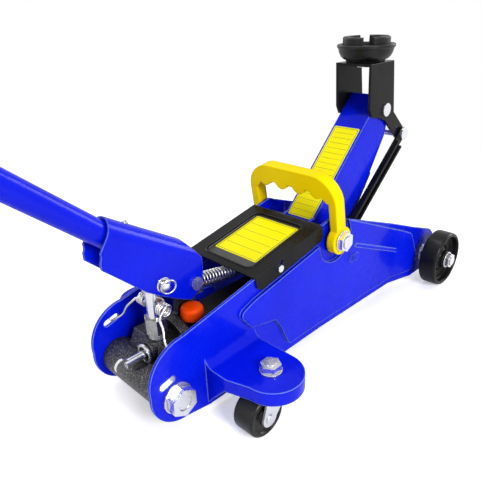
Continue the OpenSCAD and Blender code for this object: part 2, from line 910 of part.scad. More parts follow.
module link(side)
    color("#2a2a2a")
        on_side(side)
            difference() {
                union() {
                    at_y(link_in, link_in + link_t) {
                        translate(C) circle(link_w / 2 + 2.5);
                        translate(D) circle(link_w / 2 + 1.5);
                        capsule(C, D, link_w / 2);
                    }
                    for (s = [1, -1])
                        at_y(link_in, link_out)
                            translate(C)
                                rotate(arm_rise)
                                    translate([15, s * (link_w / 2 - link_t / 2) - link_t / 2])
                                        square([arm_len - 30, link_t]);
                }
                rod(C, 0, 60, pin_r + run);
                rod(D, 0, 60, pin_r - 0.5 + run);
            }

module saddle()
    color("#1b1b1b")
        translate([saddle_x, 0, yoke_z]) {
            rotate_extrude()
                polygon([
                    [0, -yoke_t - 2.4], [saddle_stem_r, -yoke_t - 2.4], [saddle_stem_r, 0.3],
                    [saddle_r - 11, 0.3], [saddle_r - 10, 2.6], [saddle_r - 7.4, 3.4],
                    [saddle_r - 4.4, 6.2], [saddle_r - 2.4, saddle_h - 8.6],
                    [saddle_r - 1.4, saddle_h - 4.6], [saddle_r, saddle_h - 3], [saddle_r, saddle_h - 0.8],
                    [saddle_r - 0.8, saddle_h], [saddle_r - 3.4, saddle_h], [saddle_r - 5, saddle_h - 1.6],
                    [cup_r, saddle_h - cup_h], [0, saddle_h - cup_h]
                ]);
            for (a = [lug_turn : 90 : lug_turn + 270])
                rotate([0, 0, a - lug_arc / 2])
                    rotate_extrude(angle = lug_arc)
                        polygon([
                            [lug_r - lug_w, saddle_h - cup_h - 0.8], [lug_r, saddle_h - cup_h - 0.8],
                            [lug_r, saddle_h + lug_h - 1.2], [lug_r - 1.2, saddle_h + lug_h],
                            [lug_r - lug_w + 1.2, saddle_h + lug_h],
                            [lug_r - lug_w, saddle_h + lug_h - 1.2]
                        ]);
        }

module saddle_clip()
    color("silver")
        translate([saddle_x, 0, yoke_z - yoke_t - 2.3])
            difference() {
                cylinder(r = saddle_stem_r + 3, h = 1.4);
                translate([0, 0, -1]) cylinder(r = saddle_stem_r, h = 4);
            }

// ---------- cover ----------

module cover_frame()
    translate([cover_rear, 0, cover_z])
        rotate([0, -cover_slope, 0])
            children();

module cover_plate()
    color("#101010")
        cover_frame()
            difference() {
                union() {
                    linear_extrude(cover_t)
                        difference() {
                            translate([0, -flap_in - cover_t])
                                square([cover_len, 2 * (flap_in + cover_t)]);
                            round_rect(panel[0], panel[1], panel[2], panel_round);
                        }
                    // raised frame round the sunk panel
                    translate([0, 0, -panel_sink])
                        linear_extrude(panel_sink + cover_t + 0.9)
                            difference() {
                                round_rect(panel[0] - 1.2, panel[1] + 1.2, panel[2] + 1.2, panel_round + 1.2);
                                round_rect(panel[0], panel[1], panel[2], panel_round);
                            }
                    translate([0, 0, -panel_sink])
                        linear_extrude(cover_t)
                            round_rect(panel[0] - 1, panel[1] + 1, panel[2] + 1, panel_round + 1);
                    both_sides()
                        at_y(flap_in, flap_in + cover_t)
                            polygon([
                                [0, cover_t], [0, -flap_h + 5], [6, -flap_h], [cover_len - 5, -flap_h],
                                [cover_len, -flap_h + 5], [cover_len, cover_t]
                            ]);
                }
                both_sides()
                    at_y(flap_in - 1, flap_in + 5) {
                        capsule(SCREW, SCREW + [5, 6], 1.6);
                        translate(SCREW) circle(2.1);
                    }
            }

module cover_screws()
    color("silver")
        cover_frame()
            both_sides() {
                rod(SCREW, half_w - plate_t - 4, flap_in + cover_t + 1, 2.05);
                rod(SCREW, flap_in + cover_t + 0.05, flap_in + cover_t + 2.2, 3.6);
            }

// ---------- handle ----------

// The handle's own frame: Z runs up along the tube, X stays in the jack's middle plane
module handle_frame()
    translate([handle_foot.x, 0, handle_foot.y])
        rotate([0, handle_rise - 90, 0])
            children();

// Outline of the socket's side walls in the XZ plane
module socket_wall()
    translate(handle_foot)
        rotate(180 - handle_rise)
            mirror([0, 1])
                difference() {
                    union() {
                        polygon([
                            [92, 20], [28, 30], [-8, 24], [-15, 22], [-25, 9], [-31, -4],
                            [-27, -17], [-14, -21], [12, -25.5], [27, -27], [78, -25], [86, -16], [88, 0]
                        ]);
                    }
                    translate([92, -22]) circle(10);
                }

// Channel folded over the tube, open below, a little steeper than the tube
crown = [31, 9.2];                 // along and above the tube's axis: centre of the fold
crown_turn = 10;
module socket_channel(half)
    handle_frame()
        translate([crown.y, 0, crown.x])
            rotate([0, -crown_turn, 0])
                translate([0, 0, -90])
                    linear_extrude(180) {
                        circle(half);
                        translate([-80, -half]) square([80, 2 * half]);
                    }

module handle_socket()
    color("royalblue")
        difference() {
            intersection() {
                difference() {
                    socket_channel(socket_out);
                    socket_channel(socket_in);
                }
                at_y(-20, 20) socket_wall();
            }
            rod(SOCKET, -30, 30, socket_pin_r);
            rod(press_pin, -30, 30, press_pin_r);
        }

module socket_sleeve()
    color("royalblue")
        handle_frame()
            difference() {
                translate([0, 0, 2]) cylinder(r = socket_in - 0.02, h = sleeve_len);
                translate([0, 0, 0]) cylinder(r = tube_r + 0.08, h = 100);
                translate([-30, -30, -1]) cube([30 - tube_r * 0.55, 60, 100]);
            }

module socket_pin()
    color("silver") {
        rod(SOCKET, -socket_out - 1, socket_out + 1, socket_pin_r);
        both_sides() rod(SOCKET, socket_out + 0.05, socket_out + 2.4, socket_pin_r + 2.5);
    }

module press_pin()
    color("gainsboro") {
        rod(press_pin, -socket_out - 4, socket_out + 4, press_pin_r);
        translate([press_pin.x, -socket_out - 4, press_pin.y]) sphere(press_pin_r);
        translate([press_pin.x, socket_out + 4, press_pin.y]) sphere(press_pin_r);
    }

module press_pin_clips()
    color("silver")
        both_sides()
            difference() {
                rod(press_pin, socket_out + 0.1, socket_out + 1.5, press_pin_r + 3);
                rod(press_pin, 0, 40, press_pin_r);
            }

joint_len = 45;                    // overlap of the two handle pieces
button_s = foot_s + lower_len - 18;
module tube(s0, s1, r_out, r_in)
    difference() {
        translate([0, 0, s0]) cylinder(r = r_out, h = s1 - s0);
        translate([0, 0, s0 - 1]) cylinder(r = r_in, h = s1 - s0 + 2);
    }

module handle_lower()
    color("royalblue")
        handle_frame()
            difference() {
                tube(foot_s, foot_s + lower_len, tube_r, tube_r - tube_t);
                translate([0, 0, button_s]) rotate([0, -90, 0]) cylinder(r = 3.1, h = 20);
            }

module handle_upper()
    color("royalblue")
        handle_frame()
            difference() {
                union() {
                    tube(foot_s + lower_len - joint_len, foot_s + lower_len + 4,
                        tube_r - tube_t - 0.05, tube_r - 2 * tube_t - 0.6);
                    tube(foot_s + lower_len + 0.2, foot_s + handle_len - 2,
                        tube_r, tube_r - tube_t - 0.6);
                }
                translate([0, 0, button_s]) rotate([0, -90, 0]) cylinder(r = 3.1, h = 20);
            }

module handle_grip()
    color("#161616")
        handle_frame()
            difference() {
                translate([0, 0, foot_s + handle_len])
                    rotate_extrude()
                        polygon(concat(
                            [[0, 0], [grip_r - grip_edge, 0], [grip_r, -grip_edge], [grip_r, -8]],
                            [
                                for (i = [0 : 8], k = [0 : 2])
                                    [grip_r - [1.4, 1.4, 0][k], -10 - 10 * i - [0, 4, 6][k]]
                            ],
                            [[grip_r, -grip_len + 5], [grip_r - 1.5, -grip_len], [0, -grip_len]]
                        ));
                translate([0, 0, foot_s]) cylinder(r = tube_r, h = handle_len - 2);
            }

module snap_button()
    color("silver")
        handle_frame()
            translate([0, 0, button_s])
                rotate([0, -90, 0]) {
                    cylinder(r = 3, h = tube_r + 1);
                    translate([0, 0, 3]) cylinder(r = 3.8, h = 2);
                    translate([0, 0, tube_r + 1]) sphere(2.6);
                }

module button_spring()
    color("silver")
        handle_frame()
            translate([0, -2.4, button_s - 3])
                union() {
                    translate([5.2, 0, 0]) cube([0.8, 4.8, 26]);
                    translate([-3.5, 0, 25.2]) cube([9.5, 4.8, 0.8]);
                }

// ---------- carry handle ----------

carry_half = carry_out;
carry_in = eye_in;
corner_r = 30;
scallop_r = 9;
module carry_profile()
    difference() {
        union() {
            translate([-carry_half, 0]) square([2 * carry_half, carry_h - corner_r]);
            translate([-carry_half + corner_r, 0]) square([2 * (carry_half - corner_r), carry_h]);
            for (s = [1, -1])
                translate([s * (carry_half - corner_r), carry_h - corner_r]) circle(corner_r);
        }
        difference() {
            translate([-carry_in, -1]) square([2 * carry_in, carry_h - grip_depth + 4.5]);
            for (s = [-1.5 : 1 : 1.5])
                translate([s * 24, carry_h - grip_depth + 6.5]) scale_free_lobe();
            for (s = [1, -1])
                translate([s * (carry_in + 1), carry_h - grip_depth + 3]) circle(9);
        }
    }
// One finger lobe under the grip
module scale_free_lobe() circle(scallop_r);

module carry_handle()
    color("gold")
        difference() {
            union() {
                translate([A.x, 0, A.y])
                    rotate([0, -carry_lean, 0])
                        rotate([90, 0, 90])
                            translate([0, 0, -strap_w / 2])
                                linear_extrude(strap_w)
                                    difference() {
                                        carry_profile();
                                        translate([-100, -1]) square([200, 1]);
                                    }
                both_sides() rod(A, carry_in, carry_out, 15.5);
            }
            rod(A, -100, 100, shaft_r + run);
        }

// ---------- casters ----------

module caster_fork(side)
    color("gainsboro")
        on_side(side)
            translate([CASTER.x, CASTER.y, 0])
                difference() {
                    union() {
                        // crown under the wing, with the bearing race on it
                        translate([0, 0, fork_top - fork_t])
                            linear_extrude(fork_t) {
                                circle(15);
                                translate([-caster_trail + 1, -fork_half])
                                    square([caster_trail + 8, 2 * fork_half]);
                            }
                        translate([0, 0, fork_top - eps]) cylinder(r = 11.5, h = race_h);
                        both_sides()
                            at_y(fork_half - fork_t, fork_half)
                                union() {
                                    translate([-caster_trail, caster_r]) circle(8.5);
                                    polygon([
                                        [-caster_trail - 8.4, caster_r + 1], [-caster_trail + 1, fork_top],
                                        [9, fork_top], [9, fork_top - 10], [-caster_trail + 8.3, caster_r - 1.6],
                                        [-caster_trail, caster_r]
                                    ]);
                                }
                    }
                    translate([0, 0, fork_top - 10]) cylinder(r = stem_r, h = 20);
                    rod([-caster_trail, caster_r], -40, 40, 3);
                }

module caster_stem(side)
    color("silver")
        on_side(side)
            translate([CASTER.x, CASTER.y, 0]) {
                translate([0, 0, fork_top - fork_t - 2]) cylinder(r = stem_r, h = wing_z + 9 - fork_top + fork_t + 2);
                translate([0, 0, fork_top - fork_t - 2.6]) cylinder(r = stem_r + 3, h = 2.6);
                translate([0, 0, wing_z + 0.1]) cylinder(r = 10.5, h = 1.6);
                translate([0, 0, wing_z + 1.6]) cylinder(r = 17 / sqrt(3), h = 6.5, $fn = 6);
            }

module caster_wheel(side)
    color("#161616")
        on_side(side)
            translate([CASTER.x - caster_trail, CASTER.y, caster_r])
                rotate([-90, 0, 0])
                    translate([0, 0, -caster_w / 2])
                        rotate_extrude()
                            polygon([
                                [3 + run, 0], [8, 0], [8.6, 2.5], [caster_r - 5, 2.5], [caster_r - 4, 0],
                                [caster_r - 1.5, 0], [caster_r, 1.5], [caster_r, caster_w - 1.5],
                                [caster_r - 1.5, caster_w], [caster_r - 4, caster_w],
                                [caster_r - 5, caster_w - 2.5], [8.6, caster_w - 2.5], [8, caster_w],
                                [3 + run, caster_w]
                            ]);

module caster_rivets(side)
    color("silver")
        on_side(side)
            translate([CASTER.x, CASTER.y, 0]) {
                rod([-caster_trail, caster_r], -fork_half - 1, fork_half + 1, 3);
                both_sides() rod([-caster_trail, caster_r], fork_half, fork_half + 1.8, 4.8);
            }

// ---------- assembly ----------

module place() translate([x_shift, 0, 0]) children();

place() side_plate(1);  // side_plate_left
place() side_plate(-1);  // side_plate_right
place() front_tie();
place() stub_axles();
place() axle_nuts();
place() front_wheel(1);  // front_wheel_left
place() front_wheel(-1);  // front_wheel_right
place() arm_shaft();
place() arm_spacers();
place() shaft_nuts();
place() link_lower_pins();
place() pump_block();
place() rear_bolts();
place() oil_tank();
place() tank_nut();
place() oil_plug();
place() pump_gland();
place() pump_plunger();
place() plunger_head();
place() plunger_spring();
place() release_valve();
place() valve_ring();
place() ram();
place() ram_crosshead();
place() ram_pin();
place() arm_return_spring();
place() lift_arm();
place() arm_pivot_tube();
place() arm_pin();
place() yoke();
place() link_top_pin();
place() link(1);  // link_left
place() link(-1);  // link_right
place() saddle();
place() saddle_clip();
place() cover_plate();
place() cover_screws();
place() handle_socket();
place() socket_sleeve();
place() socket_pin();
place() press_pin();
place() press_pin_clips();
place() handle_lower();
place() handle_upper();
place() handle_grip();
place() snap_button();
place() button_spring();
place() carry_handle();
place() caster_fork(1);  // caster_fork_left
place() caster_fork(-1);  // caster_fork_right
place() caster_stem(1);  // caster_stem_left
place() caster_stem(-1);  // caster_stem_right
place() caster_wheel(1);  // caster_wheel_left
place() caster_wheel(-1);  // caster_wheel_right
place() caster_rivets(1);  // caster_rivets_left
place() caster_rivets(-1);  // caster_rivets_right
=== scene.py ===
import json
import math

import bpy
import bmesh
from mathutils import Matrix, Vector


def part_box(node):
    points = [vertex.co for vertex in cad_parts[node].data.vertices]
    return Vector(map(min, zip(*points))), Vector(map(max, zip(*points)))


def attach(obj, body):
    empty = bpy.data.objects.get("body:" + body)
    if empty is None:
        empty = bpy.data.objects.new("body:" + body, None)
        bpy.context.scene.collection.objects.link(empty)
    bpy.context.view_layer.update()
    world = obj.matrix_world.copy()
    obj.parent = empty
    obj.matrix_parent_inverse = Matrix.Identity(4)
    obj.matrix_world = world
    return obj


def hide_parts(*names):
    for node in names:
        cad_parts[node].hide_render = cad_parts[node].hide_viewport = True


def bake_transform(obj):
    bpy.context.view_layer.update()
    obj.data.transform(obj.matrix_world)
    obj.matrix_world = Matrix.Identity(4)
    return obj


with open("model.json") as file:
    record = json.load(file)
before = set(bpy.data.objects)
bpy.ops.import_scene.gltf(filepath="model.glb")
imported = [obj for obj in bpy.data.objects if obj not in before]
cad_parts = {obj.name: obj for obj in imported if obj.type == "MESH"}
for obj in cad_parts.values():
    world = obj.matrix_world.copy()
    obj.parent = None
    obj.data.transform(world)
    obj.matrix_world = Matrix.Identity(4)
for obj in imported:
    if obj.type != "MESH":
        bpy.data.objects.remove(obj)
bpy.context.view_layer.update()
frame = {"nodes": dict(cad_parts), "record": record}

# ---------------------------------------------------------------- places
# Millimetres from the front wheel axle, as in part.scad; P() gives the row frame in metres.
_lo, _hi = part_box("front_wheel_left")
X_SHIFT = (_lo.x + _hi.x) / 2


def P(x, y, z):
    return Vector((x / 1000 + X_SHIFT, y / 1000, z / 1000))


def D(x, y, z):
    return Vector((x, y, z)) / 1000


ARM_RISE = math.radians(40.7)
A = (-186.7, 117.9)
SOCKET = (-352.0, 120.0)
RISE = math.radians(41.96)
COVER = (-309.0, 117.37)
COVER_SLOPE = math.atan((137.8 - 99.5) / (397.5 - 207.8))
CASTER = (-340.0, 95.0)
RAM_PIN_X = -161.06
SPRING_HEIGHT = 84.0
PX = -391.6          # the plunger's middle
WHEEL_HEIGHT = 35.6
PRESS_PIN = (-388.5, 134.3)
SLOT = (-418.2, -46.2, 62.3)
SLOT_TILT = math.radians(15)
PANEL_Z = -0.5


# ---------------------------------------------------------------- materials
class Surface:
    """A procedural finish in object coordinates, one thousandth of a metre per unit."""

    def __init__(self, name, base, metallic=0.0, rough=0.35, coat=0.0, coat_rough=0.06, spec=0.5):
        self.m = bpy.data.materials.new(name)
        self.m.use_nodes = True
        self.nt = self.m.node_tree
        self.b = self.nt.nodes["Principled BSDF"]
        self.base = (*base, 1.0)
        self.b.inputs["Base Color"].default_value = self.base
        self.b.inputs["Metallic"].default_value = metallic
        self.b.inputs["Roughness"].default_value = rough
        self.b.inputs["Coat Weight"].default_value = coat
        self.b.inputs["Coat Roughness"].default_value = coat_rough
        self.b.inputs["Specular IOR Level"].default_value = spec
        self.m.diffuse_color = self.base
        tc = self.nt.nodes.new("ShaderNodeTexCoord")
        mp = self.nt.nodes.new("ShaderNodeMapping")
        mp.inputs["Scale"].default_value = (1000, 1000, 1000)
        self.nt.links.new(tc.outputs["Object"], mp.inputs["Vector"])
        self.vec = mp.outputs["Vector"]
        self.height = None
        self.colour = None

    def node(self, kind, **sets):
        n = self.nt.nodes.new(kind)
        for k, v in sets.items():
            setattr(n, k, v)
        return n

    def stretched(self, scale):
        mp = self.node("ShaderNodeMapping")
        mp.inputs["Scale"].default_value = scale
        self.nt.links.new(self.vec, mp.inputs["Vector"])
        return mp.outputs["Vector"]

    def noise(self, size, detail=3.0, roughness=0.5, scale=None):
        """Noise whose features are about size millimetres."""
        n = self.node("ShaderNodeTexNoise")
        n.inputs["Scale"].default_value = 1.0 / size
        n.inputs["Detail"].default_value = detail
        n.inputs["Roughness"].default_value = roughness
        self.nt.links.new(self.stretched(scale) if scale else self.vec, n.inputs["Vector"])
        return n.outputs["Fac"]

    def grey(self, fac, lo, hi, v0=0.0, v1=1.0):
        """Maps fac from lo..hi to v0..v1."""
        r = self.node("ShaderNodeMapRange")
        r.inputs["From Min"].default_value = lo
        r.inputs["From Max"].default_value = hi
        r.inputs["To Min"].default_value = v0
        r.inputs["To Max"].default_value = v1
        self.nt.links.new(fac, r.inputs["Value"])
        return r.outputs["Result"]

    def mix(self, fac, other):
        """Mixes another colour over what is there, where fac is 1."""
        x = self.node("ShaderNodeMix", data_type="RGBA")
        x.inputs["A"].default_value = self.base
        if self.colour is not None:
            self.nt.links.new(self.colour, x.inputs["A"])
        x.inputs["B"].default_value = (*other, 1.0)
        self.nt.links.new(fac, x.inputs["Factor"])
        self.colour = x.outputs["Result"]
        self.nt.links.new(self.colour, self.b.inputs["Base Color"])
        return self

    def vary(self, size, other, amount=0.5, detail=4.0):
        """Slow patches of another tone."""
        return self.mix(self.grey(self.noise(size, detail), 0.35, 0.75, 0.0, amount), other)

    def roughness(self, size, low, high, detail=4.0, scale=None):
        f = self.grey(self.noise(size, detail, 0.6, scale), 0.3, 0.7, low, high)
        self.nt.links.new(f, self.b.inputs["Roughness"])
        return self

    def edges(self, other, amount=0.5, radius=0.8):
        """Painted highlight: another tone within radius millimetres of an edge, where the bevelled normal
        turns from the face's own.
        """
        g = self.node("ShaderNodeNewGeometry")
        n = self.node("ShaderNodeBevel", samples=6)
        n.inputs["Radius"].default_value = radius / 1000
        d = self.node("ShaderNodeVectorMath", operation="DOT_PRODUCT")
        self.nt.links.new(g.outputs["Normal"], d.inputs[0])
        self.nt.links.new(n.outputs["Normal"], d.inputs[1])
        return self.mix(self.grey(d.outputs["Value"], 0.995, 0.86, 0.0, amount), other)

    def crevice_shade(self, other, amount=0.5, reach=7.0):
        """Painted shade: another tone where the surface is hemmed in, as ambient occlusion finds it within
        reach millimetres.
        """
        a = self.node("ShaderNodeAmbientOcclusion", samples=6)
        a.inputs["Distance"].default_value = reach / 1000
        return self.mix(self.grey(a.outputs["AO"], 0.75, 0.25, 0.0, amount), other)

    def normal_from(self, socket):
        self.height = socket
        self.nt.links.new(socket, self.b.inputs["Normal"])
        return self

    def relief(self, height, depth):
        """Adds relief of about depth millimetres to what the normal has so far."""
        b = self.node("ShaderNodeBump")
        b.inputs["Strength"].default_value = 1.0
        b.inputs["Distance"].default_value = depth / 1000
        self.nt.links.new(height, b.inputs["Height"])
        if self.height is not None:
            self.nt.links.new(self.height, b.inputs["Normal"])
        return self.normal_from(b.outputs["Normal"])

    def round_edges(self, radius):
        """Softens the light along sharp edges, as on pressed sheet or a casting."""
        n = self.node("ShaderNodeBevel", samples=6)
        n.inputs["Radius"].default_value = radius / 1000
        return self.normal_from(n.outputs["Normal"])

    def bump(self, size, depth, detail=2.0, scale=None):
        """Relief with features of size millimetres."""
        return self.relief(self.noise(size, detail, 0.5, scale), depth)

    def pits(self, size, depth):
        """Round cells, as on a sand casting."""
        v = self.node("ShaderNodeTexVoronoi", feature="SMOOTH_F1")
        v.inputs["Scale"].default_value = 1.0 / size
        self.nt.links.new(self.vec, v.inputs["Vector"])
        return self.relief(v.outputs["Distance"], depth)


blue = Surface("blue_enamel", (0.001, 0.011, 0.70), rough=0.24, coat=0.16, coat_rough=0.03, spec=0.07)
blue.round_edges(3.6)
# Painted highlight: light blue along the edges. Painted shade: dark blue where the surface is hemmed in.
blue.vary(60, (0.0, 0.003, 0.50), 0.6).edges((0.34, 0.50, 1.0), 0.85, 1.3)
blue.crevice_shade((0.0, 0.0, 0.20), 0.75, 22)
blue.roughness(12, 0.23, 0.31, 2).bump(3.5, 0.006, 1).bump(0.7, 0.0012, 2)

black = Surface("black_enamel", (0.0025, 0.0025, 0.0028), rough=0.25, coat=0.05, coat_rough=0.06, spec=0.10)
black.round_edges(1.6)
# Painted highlight: dark grey along the edges.
black.vary(40, (0.010, 0.010, 0.011), 0.8).edges((0.09, 0.09, 0.095), 0.5)
black.roughness(10, 0.24, 0.34, 2).bump(2.6, 0.008, 1).bump(0.6, 0.002, 2)

saddle_black = Surface("saddle_casting", (0.003, 0.003, 0.0033), rough=0.30, spec=0.24)
saddle_black.round_edges(1.2)
# Painted highlight: grey along the edges.
saddle_black.vary(14, (0.016, 0.016, 0.017), 0.8).edges((0.13, 0.13, 0.13), 0.5)
saddle_black.roughness(4, 0.32, 0.46).bump(1.8, 0.05, 3).bump(0.5, 0.012, 3)

casting = Surface("rough_casting", (0.030, 0.029, 0.031), metallic=0.5, rough=0.36)
casting.round_edges(2.0)
casting.vary(9, (0.07, 0.07, 0.07), 0.8, 6)
casting.mix(casting.grey(casting.noise(1.1, 3, 0.7), 0.54, 0.66, 0.0, 0.9), (0.50, 0.48, 0.51))
casting.mix(casting.grey(casting.noise(1.4, 3, 0.7), 0.47, 0.36, 0.0, 0.95), (0.002, 0.002, 0.002))
# Painted highlight in grey along the edges, and painted shade in black where the casting is hemmed in.
casting.edges((0.6, 0.6, 0.6), 0.6, 0.6).crevice_shade((0.002, 0.002, 0.002), 0.97, 34)
casting.roughness(1.8, 0.26, 0.56).pits(1.5, 0.20).bump(1.1, 0.18, 5)

dark_casting = Surface("dark_casting", (0.004, 0.004, 0.004), metallic=0.0, rough=0.45, spec=0.2)
# The grey along the edges is a painted highlight.
dark_casting.vary(9, (0.010, 0.010, 0.010), 0.8, 6).edges((0.10, 0.10, 0.10), 0.5)
dark_casting.roughness(2.2, 0.4, 0.62).bump(0.9, 0.16, 5)

zinc = Surface("zinc_plate", (0.84, 0.85, 0.89), metallic=0.92, rough=0.22)
# Painted highlight: white along the edges. Painted shade: near black where the zinc is hemmed in.
zinc.vary(9, (0.70, 0.69, 0.67), 0.35).edges((1.0, 1.0, 1.0), 0.7, 0.5)
zinc.crevice_shade((0.03, 0.03, 0.06), 0.95, 5)
zinc.roughness(3.0, 0.17, 0.30, 3).bump(2.0, 0.004, 2)

fork_zinc = Surface("fork_zinc", (0.80, 0.81, 0.84), metallic=0.9, rough=0.34)
# Painted highlight: near white along the edges.
fork_zinc.vary(16, (0.70, 0.69, 0.66), 0.4).edges((0.95, 0.95, 0.97), 0.4)
fork_zinc.roughness(3, 0.28, 0.44, 5).bump(1.1, 0.010, 4)

bright = Surface("ground_steel", (0.80, 0.80, 0.81), metallic=0.95, rough=0.20)
# Painted highlight: white along the edges. Painted shade: near black where the steel is hemmed in.
bright.vary(12, (0.60, 0.60, 0.61), 0.4).edges((1.0, 1.0, 1.0), 0.6, 0.5)
bright.crevice_shade((0.04, 0.04, 0.045), 0.9, 6)
bright.roughness(2.0, 0.17, 0.29, 4, (0.3, 0.3, 6.0)).bump(0.5, 0.002, 2, (0.2, 0.2, 4.0))

dull_steel = Surface("machined_steel", (0.40, 0.40, 0.40), metallic=1.0, rough=0.3)
# Painted highlight: light grey along the edges.
dull_steel.vary(6, (0.26, 0.26, 0.26), 0.6).edges((0.75, 0.75, 0.75), 0.5)
dull_steel.roughness(1.6, 0.22, 0.42, 5).bump(0.6, 0.012, 3, (1, 1, 5))

wire_steel = Surface("spring_wire", (0.62, 0.62, 0.63), metallic=1.0, rough=0.25)
wire_steel.vary(5, (0.40, 0.39, 0.38), 0.5)
wire_steel.roughness(1.2, 0.2, 0.36, 4).bump(0.4, 0.004, 3)

wheel = Surface("wheel_enamel", (0.003, 0.003, 0.0033), rough=0.25, coat=0.04, coat_rough=0.1, spec=0.14)
wheel.round_edges(1.2)
# Painted highlight: grey along the edges.
wheel.vary(18, (0.014, 0.014, 0.015), 0.8).edges((0.22, 0.22, 0.225), 0.6)
wheel.roughness(6, 0.27, 0.38, 3).bump(1.6, 0.008, 3)

caster = Surface("caster_nylon", (0.002, 0.002, 0.0022), rough=0.22, spec=0.3)
caster.round_edges(1.2)
# Painted highlight: grey along the edges.
caster.vary(14, (0.012, 0.012, 0.012), 0.7).edges((0.14, 0.14, 0.14), 0.4)
caster.roughness(5, 0.26, 0.38, 3).bump(0.8, 0.005, 3)

grip_rubber = Surface("grip_rubber", (0.014, 0.014, 0.015), rough=0.62, spec=0.35)
grip_rubber.vary(12, (0.028, 0.028, 0.029), 0.7).roughness(2.5, 0.55, 0.75).bump(0.6, 0.05, 4)

yellow = Surface("handle_plastic", (1.0, 0.74, 0.0), rough=0.38, spec=0.05)
yellow.round_edges(2.6)
# Painted shade: deeper orange where the plastic is hemmed in.
yellow.vary(35, (1.0, 0.66, 0.0), 0.6).crevice_shade((0.80, 0.42, 0.0), 0.5)
yellow.roughness(6, 0.32, 0.42, 3).bump(1.2, 0.006, 3)

orange = Surface("plug_rubber", (1.0, 0.080, 0.0), rough=0.42, spec=0.12)
orange.vary(8, (0.98, 0.045, 0.0), 0.6).roughness(2, 0.36, 0.5).bump(0.8, 0.02, 3)

label_yellow = Surface("label_yellow", (0.90, 0.83, 0.0), rough=0.45, spec=0.12)
label_yellow.vary(30, (0.90, 0.80, 0.008), 0.6).roughness(6, 0.33, 0.45).bump(3.0, 0.01, 2)
label_ink = Surface("label_ink", (0.02, 0.02, 0.018), rough=0.45)
label_ink.vary(6, (0.05, 0.05, 0.04), 0.6).bump(2.0, 0.004, 2)
label_rule = Surface("label_rule", (0.10, 0.09, 0.004), rough=0.42)
label_rule.vary(6, (0.16, 0.14, 0.004), 0.6).bump(2.0, 0.004, 2)

# Painted highlight for the bent edge round the cover's sunk panel.
rim_highlight = Surface("painted_rim_highlight", (0.30, 0.30, 0.31), rough=0.2, spec=0.5)
rim_highlight.vary(20, (0.10, 0.10, 0.105), 0.8).roughness(4, 0.16, 0.3)

FINISH = {
    "blue_paint": blue, "black_paint": black, "black_cast": saddle_black, "rough_cast": casting,
    "zinc": zinc, "bright_steel": bright, "dark_steel": dull_steel, "spring_steel": wire_steel,
    "wheel_black": wheel, "caster_black": caster, "black_rubber": grip_rubber,
    "yellow_plastic": yellow, "orange_rubber": orange,
}
OWN = {
    "caster_fork_left": fork_zinc, "caster_fork_right": fork_zinc,
    "oil_tank": dark_casting, "tank_nut": dark_casting,
}
WIDTH = {
    "side_plate_left": 0.9, "side_plate_right": 0.9, "lift_arm": 1.3, "cover_plate": 0.5, "yoke": 0.9,
    "link_left": 0.8, "link_right": 0.8, "handle_socket": 0.8, "pump_block": 1.6, "saddle": 0.9,
    "front_wheel_left": 1.1, "front_wheel_right": 1.1, "caster_wheel_left": 1.0,
    "caster_wheel_right": 1.0, "carry_handle": 1.6, "ram_crosshead": 1.2, "oil_tank": 1.0,
    "caster_fork_left": 0.5, "caster_fork_right": 0.5, "oil_plug": 0.6, "handle_grip": 0.6,
    "handle_lower": 0.3, "handle_upper": 0.3, "front_tie": 0.8, "rear_bolts": 0.35,
}

record_slots = {p["node"]: p["material_slot"] for p in frame["record"]["subparts"]}
for name, obj in frame["nodes"].items():
    surface = OWN.get(name) or FINISH[record_slots[name]]
    if not obj.material_slots:
        obj.data.materials.append(None)
    for s in obj.material_slots:
        s.link = "OBJECT"
        s.material = surface.m
    weld = obj.modifiers.new("weld", "WELD")
    weld.merge_threshold = 0.00002
    bevel = obj.modifiers.new("edges", "BEVEL")
    bevel.width = WIDTH.get(name, 0.3) / 1000
    bevel.segments = 3 if WIDTH.get(name, 0.3) > 0.7 else 2
    bevel.limit_method = "ANGLE"
    bevel.angle_limit = math.radians(38)
    bevel.use_clamp_overlap = True
    bevel.harden_normals = False
    normals = obj.modifiers.new("normals", "WEIGHTED_NORMAL")
    normals.mode = "FACE_AREA"
    normals.weight = 60
    normals.keep_sharp = False


# ---------------------------------------------------------------- mesh helpers
def mesh_object(name, verts, faces, surface, smooth=True):
    me = bpy.data.meshes.new(name)
    me.from_pydata([tuple(v) for v in verts], [], faces)
    me.update()
    o = bpy.data.objects.new(name, me)
    bpy.context.scene.collection.objects.link(o)
    me.materials.append(surface.m)
    for p in me.polygons:
        p.use_smooth = smooth
    return o


